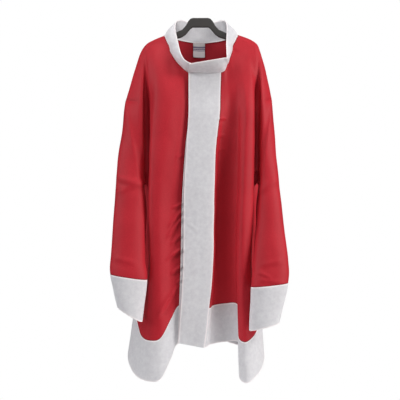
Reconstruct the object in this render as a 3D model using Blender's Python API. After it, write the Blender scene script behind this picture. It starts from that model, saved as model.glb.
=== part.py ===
"""A santa suit's long coat, red cloth with white plush trim, hanging on a plain moulded hanger.

Millimetres in the tables, metres in the scene. +X is to the right as one faces the coat's front, +Y is to
its back and +Z is up. The origin is the middle of the underside of the hanger's bridge, where a peg holds it.
"""

from collections import namedtuple

import bmesh
import bpy
import numpy as np

MM = 0.001

# Cloth sizes
RED_WALL = 1.6
TRIM_RISE = 0.8  # how far the white plush stands proud of the red cloth
TRIM_SINK = 0.6  # how far it goes in past the red cloth's inner face
SEAM_HALF_GAP = 0.2
HEM_BAND = 118.0
COLLAR_BULGE = 5.0
SLEEVE_ROUNDNESS = 0.9  # 1 is an ellipse, and less is a flatter front and back

# Hanger sizes
HANGER_DEPTH = 10.0
HANGER_ROUNDING = 3.0
CLOTH_ON_HANGER = 1.1  # from the arm's top line to the cloth's inner face, at the shoulder seam
CLOTH_FALLS = [(2.0, 0.3), (8.0, 3.0)]  # distance from the seam, and how steeply the cloth falls past it
PAST_THE_ARM = 4.0  # how far beyond the arm's end the cloth still follows it

# Label sizes
LABEL_LEFT, LABEL_RIGHT = -23.0, 14.0
LABEL_LENGTH = 44.0
LABEL_WALL = 1.0
LABEL_CLEARANCE = 0.4
LABEL_SEWN_BELOW = 1.0  # how far below the neckline its upper edge is
LABEL_OFF_TOP, LABEL_LEAN = 0.6, 2.5  # how far it stands off the back at the top, and more at its foot

# How far down each fold line its named levels come, as a running length
LEVEL_LENGTHS = {"neck": 0, "yoke": 65, "chest": 170, "mid": 275, "arm": 380, "hip": 630, "hem": 900}
MID_Z, ARM_Z, HIP_Z = -370.0, -480.0, -730.0
YOKE_Z_FRONT, YOKE_Z_BACK, YOKE_Z_SEAM = -205.0, -122.0, -62.0
CHEST_Z_FRONT, CHEST_Z_BACK, TIP_Z = -270.0, -250.0, -226.0

# Rows of the grids between the levels
NECK_ROWS, SHOULDER_ROWS, ARMHOLE_ROWS, SIDE_ROWS, HEM_ROWS = 3, 4, 10, 9, 3
COLLAR_ROWS = 3
SPLIT_TOWARDS = (0.3, 0.1, 1)  # both walls at a seam split the squares of their end faces by this direction
COLUMNS_PER_FOLD = 2
FIRST_SIDE_ROW = 18  # running length from the underarm to the row below it

# The neckline, from place 0 at the hidden end of the collar to place 12 at the end on top. Columns: x, y, z
NECKLINE = [
    (2, -40, -141),
    (-36, -40, -143),
    (-71, -30, -111),
    (-95, -19, -72),
    (-110, 0, -24),
    (-68, 31, -33),
    (0, 38, -42),
    (78, 31, -33),
    (114, 0, -22),
    (98, -19, -72),
    (82, -34, -114),
    (62, -46, -145),
    (-36, -47, -146),
]
# The collar's upper edge. Columns: place along the neckline below it, x, y, z
COLLAR_TOP = [
    (0, 2, -74, -127),
    (1, -36, -84, -121),
    (2, -56, -64, -97),
    (3, -68, -28, -50),
    (4, -77, 6, 8),
    (5, -62, 46, 34),
    (6, 0, 56, 18),
    (7, 67, 46, 33),
    (8, 80, 6, 8),
    (9, 78, -32, -52),
    (9.7, 79, -64, -88),
    (10, 79, -81, -106),
    (10.3, 69, -84, -108),
    (11, 40, -91, -114),
    (12, -34, -92, -127),
]
RIGHT_FRONT, RIGHT_SHOULDER, BACK, LEFT_SHOULDER, LEFT_FRONT, OVER_END = 1, 4, 6, 8, 11, 12

# Ridges and valleys of the body, in order round it from the hidden front edge, across the wearer's right
# front, the back and the left front, to the free edge of the white band. Columns: name, neck (place along
# NECKLINE), (x, y) at the yoke, chest, mid, arm and hip, and (x, y, z) at the hem
Fold = namedtuple("Fold", "name neck yoke chest mid arm hip hem")
RIGHT_FRONT_FOLDS = [
    Fold("under_edge", 0.0, (4, -45), (4, -51), (-5, -55), (-12, -58), (-20, -66), (-28, -72, -960)),
    Fold("front_edge", 1.0, (-36, -47), (-34, -53), (-45, -57), (-53, -60), (-60, -67), (-68, -74, -960)),
    Fold("edge_ridge", 1.5, (-58, -51), (-58, -62), (-70, -66), (-82, -67), (-88, -73), (-88, -84, -1003)),
    Fold("bulge", 2.2, (-90, -53), (-98, -74), (-114, -80), (-124, -82), (-124, -90), (-122, -98, -1063)),
    Fold("side", 2.9, (-118, -48), (-136, -67), (-148, -70), (-152, -74), (-149, -84), (-160, -88, -1067)),
    Fold("gap", 3.4, (-143, -36), (-160, -30), (-160, -24), (-157, -38), (-156, -52), (-195, -54, -1058)),
    Fold("tuck", 3.8, (-163, -16), (-178, -46), (-172, -50), (-160, -26), (-160, -14), (-221, -14, -1022)),
]
BACK_FOLDS = [
    Fold("right_gap", 4.1, (-167, 8), (-206, 24), (-188, 41), (-162, 10), (-184, 46), (-210, 56, -1004)),
    Fold("right_fold", 4.2, (-158, 16), (-196, 32), (-182, 46), (-183, 58), (-189, 66), (-196, 78, -1015)),
    Fold("right_valley", 4.5, (-135, 28), (-160, 36), (-144, 42), (-138, 40), (-138, 44), (-150, 44, -1008)),
    Fold("right_ridge", 4.9, (-108, 36), (-124, 54), (-114, 66), (-108, 72), (-106, 88), (-112, 98, -995)),
    Fold("inner_valley", 5.3, (-78, 40), (-84, 48), (-76, 50), (-72, 50), (-68, 50), (-70, 50, -975)),
    Fold("inner_ridge", 5.7, (-42, 44), (-44, 58), (-40, 70), (-38, 78), (-34, 92), (-30, 102, -962)),
    Fold("back_valley", 6.1, (-4, 45), (-4, 54), (0, 56), (2, 56), (6, 56), (8, 54, -955)),
    Fold("back_ridge", 6.5, (36, 44), (38, 58), (40, 72), (42, 82), (46, 96), (48, 106, -960)),
    Fold("outer_valley", 6.9, (74, 40), (80, 50), (78, 50), (78, 50), (80, 52), (84, 52, -975)),
    Fold("left_ridge", 7.3, (106, 36), (122, 52), (116, 64), (112, 72), (114, 86), (122, 96, -996)),
    Fold("left_valley", 7.65, (134, 28), (156, 36), (142, 42), (138, 42), (140, 46), (150, 48, -1010)),
    Fold("left_fold", 7.85, (158, 16), (188, 30), (180, 46), (184, 59), (190, 64), (184, 76, -1013)),
    Fold("left_gap", 7.93, (167, 8), (203, 25), (187, 41), (166, 10), (182, 46), (190, 54, -1006)),
]
LEFT_FRONT_FOLDS = [
    Fold("tuck", 8.2, (164, -14), (186, -46), (180, -50), (164, -26), (156, -12), (196, -10, -1016)),
    Fold("gap", 8.6, (150, -26), (173, -28), (171, -25), (163, -38), (155, -46), (182, -46, -1042)),
    Fold("ridge_side", 8.9, (140, -34), (160, -58), (161, -66), (158, -71), (149, -80), (160, -84, -1058)),
    Fold("ridge", 9.3, (124, -42), (138, -68), (134, -78), (130, -86), (124, -94), (138, -100, -1071)),
    Fold("wall_top", 9.6, (112, -44), (122, -58), (119, -66), (116, -72), (110, -82), (117, -88, -1062)),
    Fold("wall_foot", 9.9, (101, -44), (110, -47), (114, -51), (112, -54), (108, -60), (115, -58, -958)),
    Fold("valley", 10.3, (86, -45), (91, -44), (86, -42), (80, -38), (76, -42), (77, -50, -957)),
    Fold("strip", 10.7, (72, -50), (72, -54), (58, -44), (51, -36), (45, -40), (31, -62, -963)),
    Fold("band_seam", 11.0, (60, -54), (58, -62), (46, -66), (42, -70), (37, -80), (13, -94, -967)),
    Fold("band_middle", 11.5, (12, -58), (11, -67), (3, -71), (-3, -76), (-8, -84), (-27, -89, -962)),
    Fold("free_edge", 12.0, (-36, -56), (-36, -64), (-42, -69), (-48, -73), (-52, -82), (-66, -84, -956)),
]

# The line where front and back meet below the armhole: the running lengths, and (x, y, z) at each of them,
# from the underarm to the hem
SIDE_LENGTHS = (380, 398, 440, 630, 900)
RIGHT_SIDE = [(-168, -28, -480), (-160, -20, -491), (-158, -8, -540), (-186, 20, -730), (-222, 32, -992)]
LEFT_SIDE = [(172, -28, -480), (164, -20, -491), (162, -8, -540), (182, 20, -730), (196, 32, -1000)]

# The shoulder seams, over the hanger and down to the armhole's tip. Columns: running length, x, z
RIGHT_SHOULDER_SEAM = [
    (0, -110, -24),
    (30, -142, -37),
    (50, -164, -49),
    (65, -175, -61),
    (85, -186, -81),
    (110, -197, -114),
    (140, -211, -163),
    (170, -229, -226),
]
LEFT_SHOULDER_SEAM = [
    (0, 114, -22),
    (25, 138, -30),
    (45, 158, -39),
    (65, 175.5, -53),
    (82, 183, -72),
    (105, 192.5, -104),
    (135, 204.5, -150),
    (170, 219, -222),
]

# The sleeves, as rings from the armhole to the cuff's end. Columns: ring, x and z at the outer side, x and z
# at the inner side, y of the outer and of the inner side, half the depth
SleeveRing = namedtuple("SleeveRing", "ring outer_x outer_z inner_x inner_z outer_y inner_y half_depth")
RIGHT_SLEEVE = [
    SleeveRing("armhole", -229, -226, -168, -480, 0, -28, 44),
    SleeveRing("gusset", -232, -251, -171, -490, -5, -33, 43),
    SleeveRing("upper", -239, -320, -166, -525, -14, -39, 41),
    SleeveRing("biceps", -251, -395, -163, -560, -27, -46, 39),
    SleeveRing("elbow", -256.5, -480, -163, -604, -42, -55, 37),
    SleeveRing("forearm", -262, -590, -164, -655, -60, -67, 36),
    SleeveRing("low", -265.5, -690, -162, -715, -79, -82, 35),
    SleeveRing("wrist", -266.5, -750, -157, -766, -92, -92, 35),
    SleeveRing("cuff_end", -244, -845, -172, -888, -106, -106, 34),
]
LEFT_SLEEVE = [
    SleeveRing("armhole", 219, -222, 172, -480, 0, -28, 44),
    SleeveRing("gusset", 221, -247, 175, -490, -5, -33, 43),
    SleeveRing("upper", 226, -320, 171, -525, -14, -39, 41),
    SleeveRing("biceps", 230.5, -400, 168, -562, -27, -46, 39),
    SleeveRing("elbow", 238, -490, 166, -606, -44, -57, 37),
    SleeveRing("forearm", 250, -605, 160, -665, -66, -73, 36),
    SleeveRing("low", 261, -710, 153, -735, -91, -94, 34),
    SleeveRing("wrist", 258.5, -774, 149, -786, -104, -104, 33),
    SleeveRing("cuff_end", 229, -890, 143, -912, -118, -118, 32),
]
SLEEVE_ROWS = (1, 2, 2, 2, 3, 2, 2, 3)  # between one ring and the next

# The hanger's right half. Columns: x, z of the top, z of the underside
HANGER_HALF = [
    (0, 29.5, 0),
    (24, 29.5, 0),
    (31, 27, -5),
    (38, 19, -13.5),
    (45, 6, -22),
    (56, -6.5, -29.5),
    (72, -13.5, -35),
    (92, -22.5, -43),
    (108, -30, -50),
    (140, -43, -62),
    (156, -52, -70),
]
HANGER_END = [(163, -59), (165.5, -65), (162.5, -71)]

# Finishes. Columns: colour, roughness
FINISHES = {
    "red_cloth": ((0.44, 0.022, 0.032), 0.62),
    "white_plush": ((0.72, 0.72, 0.74), 0.9),
    "label_cloth": ((0.74, 0.70, 0.70), 0.7),
    "hanger_plastic": ((0.05, 0.047, 0.045), 0.42),
}


def smooth_through(knots, values, at):
    """Points at the given places on a smooth curve that passes through values at knots."""
    knots, values, at = (np.asarray(a, float) for a in (knots, values, at))
    slopes = np.gradient(values, knots, axis=0)
    i = np.clip(np.searchsorted(knots, at, side="right") - 1, 0, len(knots) - 2)
    step = knots[i + 1] - knots[i]
    t = (at - knots[i]) / step
    shape = (-1,) + (1,) * (values.ndim - 1)
    t, step = t.reshape(shape), step.reshape(shape)
    return (
        values[i] * (2 * t**3 - 3 * t**2 + 1)
        + values[i + 1] * (3 * t**2 - 2 * t**3)
        + slopes[i] * step * (t**3 - 2 * t**2 + t)
        + slopes[i + 1] * step * (t**3 - t**2)
    )


def level_z(front, back, seam, neck):
    """A level's height on the fold line that starts at this place of the neckline."""
    if RIGHT_SHOULDER <= neck <= LEFT_SHOULDER:
        share = abs(neck - BACK) / (BACK - RIGHT_SHOULDER)
        return back + (seam - back) * share**2
    from_front = min(neck - RIGHT_FRONT, LEFT_FRONT - neck)
    share = max(0.0, from_front / (RIGHT_SHOULDER - RIGHT_FRONT))
    return front + (seam - front) * share**1.5


def armhole_spread():
    """The rows' places down the armhole, from 0 at its tip to 1 at the underarm, closer at both ends."""
    t = np.linspace(0, 1, ARMHOLE_ROWS + 1)
    return 0.5 * t + 0.25 * (1 - np.cos(np.pi * t))


def row_lengths(hem_seam):
    """The running length of each row of the body, where the hem band starts at hem_seam."""
    at = LEVEL_LENGTHS
    return np.concatenate(
        [
            np.linspace(at["neck"], at["yoke"], NECK_ROWS + 1)[:-1],
            np.linspace(at["yoke"], at["chest"], SHOULDER_ROWS + 1)[:-1],
            (at["chest"] + (at["arm"] - at["chest"]) * armhole_spread())[:-1],
            np.array([at["arm"]]),
            np.linspace(at["arm"] + FIRST_SIDE_ROW, hem_seam, SIDE_ROWS)[:-1],
            np.linspace(hem_seam, at["hem"], HEM_ROWS + 1),
        ]
    )


def hem_seam_length(hem_z):
    """The running length at which the hem band starts on a line that ends at this height."""
    hip, hem = LEVEL_LENGTHS["hip"], LEVEL_LENGTHS["hem"]
    return hem - (hem - hip) * HEM_BAND / (HIP_Z - hem_z)


def fold_line(fold):
    """One ridge or valley of the body, as a point for each row."""
    neck = smooth_through(range(len(NECKLINE)), NECKLINE, [fold.neck])[0]
    yoke_z = level_z(YOKE_Z_FRONT, YOKE_Z_BACK, YOKE_Z_SEAM, fold.neck)
    chest_z = level_z(CHEST_Z_FRONT, CHEST_Z_BACK, TIP_Z, fold.neck)
    points = [
        tuple(neck),
        (*fold.yoke, yoke_z),
        (*fold.chest, chest_z),
        (*fold.mid, MID_Z),
        (*fold.arm, ARM_Z),
        (*fold.hip, HIP_Z),
        fold.hem,
    ]
    return smooth_through(list(LEVEL_LENGTHS.values()), points, row_lengths(hem_seam_length(fold.hem[2])))


def ring_points(ring, count):
    """Points round one ring of a sleeve, from its outer side across the front to its inner side, then back."""
    turn = np.linspace(0, 2 * np.pi, count, endpoint=False)
    outer = np.array([ring.outer_x, ring.outer_y, ring.outer_z], float)
    inner = np.array([ring.inner_x, ring.inner_y, ring.inner_z], float)
    middle, arm = (outer + inner) / 2, (outer - inner) / 2
    depth = np.array([0, -ring.half_depth, 0], float)
    forward = np.sign(np.sin(turn)) * np.abs(np.sin(turn)) ** SLEEVE_ROUNDNESS
    return middle + np.cos(turn)[:, None] * arm + forward[:, None] * depth


def seam_lines(shoulder, side, armhole):
    """The shoulder seam, armhole and side seam as a point for each row: the front's line and the back's."""
    lengths = row_lengths(hem_seam_length(side[-1][2]))
    tip, under = NECK_ROWS + SHOULDER_ROWS, NECK_ROWS + SHOULDER_ROWS + ARMHOLE_ROWS
    knots = [row[0] for row in shoulder]
    over = smooth_through(knots, [(x, 0, z) for _, x, z in shoulder], lengths[:tip])
    loop = ring_points(armhole, 2 * ARMHOLE_ROWS)
    down = smooth_through(SIDE_LENGTHS, side, lengths[under:])
    front = np.concatenate([over, loop[:ARMHOLE_ROWS], down])
    back_edge = np.roll(loop, -1, axis=0)[::-1][:ARMHOLE_ROWS]
    back = np.concatenate([over, back_edge, down])
    return front, back


def across(lines):
    """A row of points through one point of each line, with the same number of columns between any two."""
    lines = np.asarray(lines)
    steps = np.linalg.norm(np.diff(lines, axis=0), axis=1)
    knots = np.concatenate([[0], np.cumsum(np.sqrt(steps))])
    shares = np.arange(COLUMNS_PER_FOLD) / COLUMNS_PER_FOLD
    at = np.concatenate([(knots[:-1, None] + np.diff(knots)[:, None] * shares).ravel(), knots[-1:]])
    return smooth_through(knots, lines, at)


def hanger_top(x):
    """Height of the top line of the hanger's arm."""
    table = np.array(HANGER_HALF + [(*HANGER_END[0], 0)])
    return np.interp(np.abs(x), table[:, 0], table[:, 1])


def rest_on_hanger(points):
    """Lifts the cloth of the shoulders on to the hanger's rounded top edge."""
    off_seam = np.abs(points[..., 1])
    fall = sum(slope * np.maximum(0, off_seam - start) for start, slope in CLOTH_FALLS)
    lowest = hanger_top(points[..., 0]) + RED_WALL + CLOTH_ON_HANGER - fall
    on_arm = (np.abs(points[..., 0]) < HANGER_END[1][0] + PAST_THE_ARM) & (off_seam < 2 * HANGER_DEPTH)
    points[..., 2] = np.where(on_arm, np.maximum(points[..., 2], lowest), points[..., 2])
    return points


def body_grids():
    """The outer faces of the wearer's right front, the back and the left front, in rows and columns."""
    right_front_seam, right_back_seam = seam_lines(RIGHT_SHOULDER_SEAM, RIGHT_SIDE, RIGHT_SLEEVE[0])
    left_front_seam, left_back_seam = seam_lines(LEFT_SHOULDER_SEAM, LEFT_SIDE, LEFT_SLEEVE[0])
    right = [fold_line(f) for f in RIGHT_FRONT_FOLDS]
    back = [fold_line(f) for f in BACK_FOLDS]
    left = [fold_line(f) for f in LEFT_FRONT_FOLDS]
    tip, under = NECK_ROWS + SHOULDER_ROWS, NECK_ROWS + SHOULDER_ROWS + ARMHOLE_ROWS
    panels = ([], [], [])
    first, second = len(right) * COLUMNS_PER_FOLD, (len(right) + 1 + len(back)) * COLUMNS_PER_FOLD
    for row in range(len(right_front_seam)):
        start = [line[row] for line in right] + [right_front_seam[row]]
        middle = [right_back_seam[row]] + [line[row] for line in back] + [left_back_seam[row]]
        end = [left_front_seam[row]] + [line[row] for line in left]
        if tip < row < under:
            parts = [across(start), across(middle), across(end)]
        else:
            whole = across(start + middle[1:-1] + end)
            parts = [whole[: first + 1], whole[first : second + 1], whole[second:]]
        for panel, part in zip(panels, parts):
            panel.append(part)
    grids = [np.array(panel) for panel in panels]
    for grid in grids:
        grid[:tip] = rest_on_hanger(grid[:tip])
    return grids


def sleeve_grid(rings):
    """The outer face of a sleeve and its cuff, as a grid of rings, and the ring where the cuff starts."""
    around = 2 * ARMHOLE_ROWS
    at = np.concatenate([i + np.arange(n) / n for i, n in enumerate(SLEEVE_ROWS)] + [[len(rings) - 1]])
    rows = smooth_through(range(len(rings)), [ring_points(r, around) for r in rings], at)
    return rows, sum(SLEEVE_ROWS[:-1])


def collar_grid(foot, places):
    """The outer face of the collar, from its upper edge down to the neckline's own points."""
    top = np.array(COLLAR_TOP, float)
    top = smooth_through(top[:, 0], top[:, 1:], places)
    along = np.gradient((foot + top) / 2, axis=0)
    out = np.cross(along, foot - top)
    out /= np.linalg.norm(out, axis=1)[:, None]
    share = np.linspace(0, 1, COLLAR_ROWS + 1)[:, None, None]
    return top + (foot - top) * share + out * COLLAR_BULGE * np.sin(np.pi * share)


def face_normals(grid, wrap=False, turned=False):
    """Unit vectors out of the outer face at each point of a grid."""
    down = np.gradient(grid, axis=0)
    if wrap:
        around = np.roll(grid, -1, axis=1) - np.roll(grid, 1, axis=1)
    else:
        around = np.gradient(grid, axis=1)
    out = np.cross(around, down)
    out /= np.maximum(np.linalg.norm(out, axis=2), 1e-9)[:, :, None]
    return -out if turned else out


def share_normals(*edges):
    """Gives edges that meet at a seam the same directions, so that their walls end face to face."""
    mean = sum(normals[index] for normals, index in edges)
    mean = mean / np.linalg.norm(mean, axis=-1)[..., None]
    for normals, index in edges:
        normals[index] = mean


def drawn_back(grid, normals, edges):
    """The grid with the named edges moved into the piece by half a seam's gap, along the cloth."""
    moved = grid.copy()
    inward = {"top": (0, 1, 0), "bottom": (-1, -2, 0), "left": (0, 1, 1), "right": (-1, -2, 1)}
    for edge in edges:
        border, beside, axis = inward[edge]
        pick = (lambda n: (n, slice(None))) if axis == 0 else (lambda n: (slice(None), n))
        line, next_line = grid[pick(border)], grid[pick(beside)]
        across_seam = np.cross(np.gradient(line, axis=0), normals[pick(border)])
        side = np.sign(np.sum(across_seam * (next_line - line), axis=1))[:, None]
        size = np.linalg.norm(across_seam, axis=1)[:, None]
        moved[pick(border)] += across_seam / size * side * SEAM_HALF_GAP
    return moved


def solid_wall(name, grid, normals, edges, finish, wrap=False, trim=False):
    """One piece of cloth as a closed wall with its outer face on the grid, or just proud of it for trim."""
    middle = drawn_back(grid, normals, edges)
    outer = middle + normals * (TRIM_RISE if trim else 0)
    inner = middle - normals * (RED_WALL + (TRIM_SINK if trim else 0))
    return wall_between(name, outer, inner, finish, wrap)


def wall_between(name, outer, inner, finish, wrap=False):
    """A closed solid between two grids of matching points, open at its ends where it wraps round."""
    rows, columns = outer.shape[:2]
    mesh = bmesh.new()
    layers = [[[mesh.verts.new(p * MM) for p in row] for row in layer] for layer in (outer, inner)]
    around = columns if wrap else columns - 1
    for layer, side in zip(layers, (1, -1)):
        for r in range(rows - 1):
            for c in range(around):
                n = (c + 1) % columns
                corners = (layer[r][c], layer[r][n], layer[r + 1][n], layer[r + 1][c])
                mesh.faces.new((corners[0], corners[1], corners[2])[::side])
                mesh.faces.new((corners[0], corners[2], corners[3])[::side])
    borders = [[(r, c) for c in range(columns)] + ([(r, 0)] if wrap else []) for r in (0, rows - 1)]
    if not wrap:
        borders += [[(r, c) for r in range(rows)] for c in (0, columns - 1)]
    for border in borders:
        for (r0, c0), (r1, c1) in zip(border, border[1:]):
            ends = [layers[0][r0][c0], layers[0][r1][c1], layers[1][r1][c1], layers[1][r0][c0]]
            if (ends[1].co - ends[0].co).dot(SPLIT_TOWARDS) > 0:
                ends = ends[1:] + ends[:1]
            mesh.faces.new(ends[:3])
            mesh.faces.new((ends[0], ends[2], ends[3]))
    bmesh.ops.recalc_face_normals(mesh, faces=mesh.faces)
    data = bpy.data.meshes.new(name)
    mesh.to_mesh(data)
    mesh.free()
    data.shade_smooth()
    return placed(name, data, finish)


def placed(name, data, finish):
    """An object of this mesh or curve in the coat's collection, in its finish."""
    obj = bpy.data.objects.new(name, data)
    data.materials.append(material(finish))
    collection().objects.link(obj)
    return obj


def collection():
    """The collection that holds the coat and its hanger."""
    found = bpy.data.collections.get("santa_suit")
    if found is None:
        found = bpy.data.collections.new("santa_suit")
        bpy.context.scene.collection.children.link(found)
    return found


def material(finish):
    """The named finish as a Principled BSDF."""
    found = bpy.data.materials.get(finish)
    if found is None:
        found = bpy.data.materials.new(finish)
        found.use_nodes = True
        colour, roughness = FINISHES[finish]
        shader = found.node_tree.nodes["Principled BSDF"]
        shader.inputs["Base Color"].default_value = (*colour, 1)
        shader.inputs["Roughness"].default_value = roughness
        shader.inputs["Metallic"].default_value = 0
    return found


def neck_places():
    """The place along the neckline of each column round the body."""
    folds = [f.neck for f in RIGHT_FRONT_FOLDS] + [RIGHT_SHOULDER] + [f.neck for f in BACK_FOLDS]
    folds += [LEFT_SHOULDER] + [f.neck for f in LEFT_FRONT_FOLDS]
    columns = np.arange((len(folds) - 1) * COLUMNS_PER_FOLD + 1)
    return np.interp(columns / COLUMNS_PER_FOLD, range(len(folds)), folds)


def make_label(back, normals):
    """The blank label sewn in below the collar's back, from points of the back's inner face moved in."""
    inner = back - normals * (RED_WALL + LABEL_CLEARANCE)
    steps = np.linspace(LABEL_LEFT, LABEL_RIGHT, 4)
    drop = np.linspace(0, LABEL_LENGTH, 5)
    grid = np.zeros((len(drop), len(steps), 3))
    for c, x in enumerate(steps):
        rows = np.array([[np.interp(x, row[:, 0], row[:, axis]) for axis in range(3)] for row in inner[:6]])
        lengths = rows[0, 2] - rows[:, 2]
        for axis in range(3):
            grid[:, c, axis] = np.interp(drop + LABEL_SEWN_BELOW, lengths, rows[:, axis])
    grid[:, :, 1] -= LABEL_OFF_TOP + LABEL_LEAN * np.linspace(0, 1, len(drop))[:, None]
    thickness = np.array([0, -LABEL_WALL, 0])
    return wall_between("label", grid, grid + thickness, "label_cloth")


def make_hanger():
    """The moulded hanger: a flat outline, thickened, with rounded edges."""
    top = [(x, z) for x, z, _ in HANGER_HALF]
    under = [(x, z) for x, _, z in HANGER_HALF]
    half = top + HANGER_END + under[::-1]
    outline = half[:-1] + [(-x, z) for x, z in half[::-1]][:-1]
    curve = bpy.data.curves.new("hanger", "CURVE")
    curve.dimensions = "2D"
    curve.fill_mode = "BOTH"
    curve.extrude = (HANGER_DEPTH / 2 - HANGER_ROUNDING) * MM
    curve.bevel_depth = HANGER_ROUNDING * MM
    curve.bevel_resolution = 2
    curve.offset = -HANGER_ROUNDING * MM
    curve.resolution_u = 1
    line = curve.splines.new("POLY")
    line.points.add(len(outline) - 1)
    for point, (x, z) in zip(line.points, outline):
        point.co = (x * MM, z * MM, 0, 1)
    line.use_cyclic_u = True
    hanger = placed("hanger", curve, "hanger_plastic")
    hanger.rotation_euler = (np.pi / 2, 0, 0)
    return hanger


def make_sleeve(side, grid, normals, cuff_row):
    """A sleeve and its plush cuff, each an open tube."""
    arm, arm_out = grid[: cuff_row + 1], normals[: cuff_row + 1]
    cuff, cuff_out = grid[cuff_row:], normals[cuff_row:]
    solid_wall(f"sleeve_{side}", arm, arm_out, ["top", "bottom"], "red_cloth", wrap=True)
    solid_wall(f"cuff_{side}", cuff, cuff_out, ["top"], "white_plush", wrap=True, trim=True)


def main():
    for obj in list(bpy.data.objects):
        bpy.data.objects.remove(obj)

    right, back, left = body_grids()
    right_sleeve, cuff_row = sleeve_grid(RIGHT_SLEEVE)
    left_sleeve, _ = sleeve_grid(LEFT_SLEEVE)
    neckline = np.concatenate([right[0], back[0][1:-1], left[0]])
    collar = collar_grid(neckline, neck_places())

    right_out, back_out, left_out = (face_normals(g) for g in (right, back, left))
    right_sleeve_out = face_normals(right_sleeve, wrap=True, turned=True)
    left_sleeve_out = face_normals(left_sleeve, wrap=True)
    collar_out = face_normals(collar)

    tip, under = NECK_ROWS + SHOULDER_ROWS, NECK_ROWS + SHOULDER_ROWS + ARMHOLE_ROWS
    hole = slice(tip, under + 1)
    shoulder, side = slice(0, tip), slice(under + 1, None)
    for front_out, front_edge, back_edge, sleeve_out in (
        (right_out, -1, 0, right_sleeve_out),
        (left_out, 0, -1, left_sleeve_out),
    ):
        share_normals((front_out, (shoulder, front_edge)), (back_out, (shoulder, back_edge)))
        share_normals((front_out, (side, front_edge)), (back_out, (side, back_edge)))
        front_half = np.arange(ARMHOLE_ROWS + 1)
        back_half = (-front_half) % (2 * ARMHOLE_ROWS)
        share_normals((front_out, (hole, front_edge)), (sleeve_out, (0, front_half)))
        share_normals((back_out, (hole, back_edge)), (sleeve_out, (0, back_half)))
        share_normals((front_out, (hole, front_edge)), (sleeve_out, (0, front_half)))
        back_out[tip, back_edge] = front_out[tip, front_edge]
        back_out[under, back_edge] = front_out[under, front_edge]
        sleeve_out[0, 0] = front_out[tip, front_edge]
        sleeve_out[0, ARMHOLE_ROWS] = front_out[under, front_edge]
    first, second = right.shape[1], right.shape[1] + back.shape[1] - 2
    share_normals((right_out, (0,)), (collar_out, (-1, slice(0, first))))
    share_normals((left_out, (0,)), (collar_out, (-1, slice(second, None))))
    share_normals((back_out, (0, slice(1, -1))), (collar_out, (-1, slice(first, second))))
    back_out[0, 0], back_out[0, -1] = right_out[0, -1], left_out[0, 0]

    hem = len(right) - 1 - HEM_ROWS
    band = len(LEFT_FRONT_FOLDS) - 2
    band_column = band * COLUMNS_PER_FOLD
    edge_column = COLUMNS_PER_FOLD
    for name, grid, out, edges in (
        ("front_right", right[:, edge_column:], right_out[:, edge_column:], ["left", "right"]),
        ("back", back, back_out, ["left", "right"]),
        ("front_left", left[:, : band_column + 1], left_out[:, : band_column + 1], ["left", "right"]),
    ):
        solid_wall(name, grid[: hem + 1], out[: hem + 1], edges + ["top", "bottom"], "red_cloth")
        solid_wall(f"hem_{name}", grid[hem:], out[hem:], edges + ["top"], "white_plush", trim=True)
    under_band, under_out = right[:, : edge_column + 1], right_out[:, : edge_column + 1]
    front_band, front_band_out = left[:, band_column:], left_out[:, band_column:]
    solid_wall("under_band", under_band, under_out, ["top", "right"], "white_plush", trim=True)
    solid_wall("front_band", front_band, front_band_out, ["top", "left"], "white_plush", trim=True)
    solid_wall("collar", collar, collar_out, ["bottom"], "white_plush", trim=True)
    make_sleeve("right", right_sleeve, right_sleeve_out, cuff_row)
    make_sleeve("left", left_sleeve, left_sleeve_out, cuff_row)
    make_label(back, back_out)
    make_hanger()


main()
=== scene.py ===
"""A santa suit's coat on its hanger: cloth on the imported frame's forms, with materials, light and camera.

Millimetres in the tables, metres in the scene. +X is to the right as one faces the coat's front, +Y is
to its back and +Z is up, as in the frame.
"""

from collections import namedtuple

import bpy
import numpy as np
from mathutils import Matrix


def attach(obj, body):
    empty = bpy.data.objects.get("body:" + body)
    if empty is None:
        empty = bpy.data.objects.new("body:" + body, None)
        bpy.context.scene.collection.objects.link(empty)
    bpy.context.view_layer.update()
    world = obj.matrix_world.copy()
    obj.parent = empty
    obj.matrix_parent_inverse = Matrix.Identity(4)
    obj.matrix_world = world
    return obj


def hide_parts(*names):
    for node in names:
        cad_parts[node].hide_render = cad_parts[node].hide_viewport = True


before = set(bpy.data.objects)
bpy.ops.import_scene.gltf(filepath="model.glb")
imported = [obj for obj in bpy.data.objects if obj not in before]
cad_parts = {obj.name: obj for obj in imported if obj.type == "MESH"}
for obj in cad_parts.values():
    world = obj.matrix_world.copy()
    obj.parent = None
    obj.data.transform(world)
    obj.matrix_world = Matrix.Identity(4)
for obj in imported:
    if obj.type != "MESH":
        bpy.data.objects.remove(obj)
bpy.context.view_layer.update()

MM = 0.001

# Cloth sizes
RED_WALL = 1.6
TRIM_RISE = 0.8  # how far the white plush stands proud of the red cloth
TRIM_SINK = 0.6  # how far it goes in past the red cloth's inner face
HEM_BAND = 118.0
COLLAR_BULGE = 5.0
SLEEVE_ROUNDNESS = 0.9  # 1 is an ellipse, and less is a flatter front and back

# Hanger sizes
HANGER_DEPTH = 10.0
CLOTH_ON_HANGER = 1.1  # from the arm's top line to the cloth's inner face, at the shoulder seam
CLOTH_FALLS = [(2.0, 0.3), (8.0, 3.0)]  # distance from the seam, how steeply the cloth falls past it
PAST_THE_ARM = 4.0  # how far beyond the arm's end the cloth still follows it

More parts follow.
